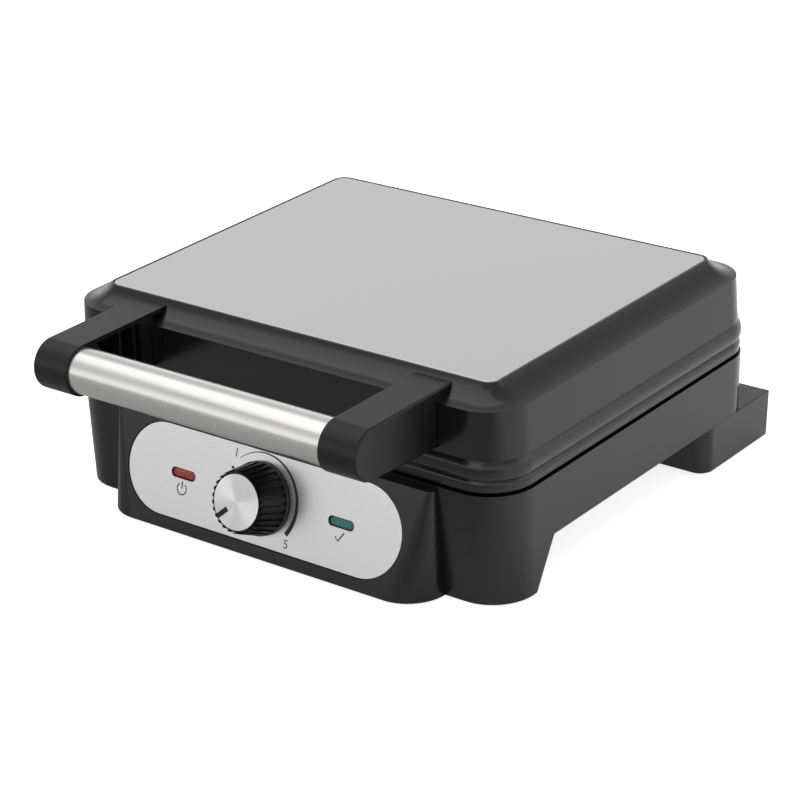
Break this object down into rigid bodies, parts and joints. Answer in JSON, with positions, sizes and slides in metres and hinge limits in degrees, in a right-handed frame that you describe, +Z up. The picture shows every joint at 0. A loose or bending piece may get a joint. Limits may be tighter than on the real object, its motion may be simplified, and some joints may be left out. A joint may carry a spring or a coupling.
{
  "type": "belgian waffle maker",
  "caption": "Household belgian waffle maker with deep-pocketed cast plates, a hinged steel-topped lid, a tubular handle and a temperature knob on a tilted panel.",
  "frame": {"origin": "on the table, under the middle of the closed appliance's bounding box", "axes": "+Z up, +X to the right of someone who faces the control panel, -Y towards that person"},
  "size_m": [0.2624, 0.285, 0.1024],
  "materials": {
    "gloss_black": "moulded, high gloss",
    "satin_black": "moulded, fine satin",
    "sheet_steel": "fine satin sheet",
    "tube_steel": "brushed along its length",
    "fascia_steel": "fine brushed sheet",
    "spun_metal": "turned face",
    "cast_plate": "cast with dark non-stick coating",
    "element_steel": "oxidised sheath",
    "reflector_steel": "plain coated sheet",
    "zinc_steel": "zinc plated",
    "red_lens": "translucent red",
    "green_lens": "translucent green",
    "lamp_glass": "clear bulb",
    "phenolic": "dark phenolic",
    "rubber": "soft black",
    "white_plastic": "natural nylon"
  },
  "bodies": {
    "base": {"base_shell": "gloss_black", "hinge_ears": "gloss_black", "control_housing": "gloss_black", "rear_foot_left": "gloss_black", "rear_foot_right": "gloss_black", "foot_screws": "zinc_steel", "fascia_plate": "fascia_steel", "power_lens": "red_lens", "ready_lens": "green_lens", "power_lamp": "lamp_glass", "ready_lamp": "lamp_glass", "thermostat_body": "phenolic", "thermostat_nut": "zinc_steel", "lower_cooking_plate": "cast_plate", "lower_heating_element": "element_steel", "lower_reflector": "reflector_steel", "lower_plate_screws": "zinc_steel", "lower_reflector_screws": "zinc_steel", "bottom_cover": "satin_black", "bottom_cover_screws": "zinc_steel", "rubber_feet": "rubber", "hinge_pins": "zinc_steel", "cord_grommet": "rubber", "terminal_block": "white_plastic", "thermal_fuse": "white_plastic"},
    "lid": {"lid_cover": "gloss_black", "lid_top_plate": "sheet_steel", "lid_frame": "gloss_black", "hinge_knuckles": "gloss_black", "upper_cooking_plate": "cast_plate", "upper_heating_element": "element_steel", "upper_reflector": "reflector_steel", "upper_plate_screws": "zinc_steel", "upper_reflector_screws": "zinc_steel", "handle_arm_left": "satin_black", "handle_arm_right": "satin_black", "handle_tube": "tube_steel", "handle_tie_rod": "zinc_steel", "handle_caps": "satin_black", "handle_screws": "zinc_steel"},
    "knob": {"knob_body": "satin_black", "knob_cap": "spun_metal", "thermostat_shaft": "zinc_steel"}
  },
  "joints": [
    {"name": "lid_hinge", "type": "hinge", "parent": "base", "child": "lid", "pos_m": [0, 0.1365, 0.0565], "axis": [-1, 0, 0], "range_deg": [0, 105]},
    {"name": "knob_turn", "type": "hinge", "parent": "base", "child": "knob", "pos_m": [0, -0.0972, 0.0284], "axis": [0, 0.9613, -0.2756], "range_deg": [0, 260]}
  ]
}
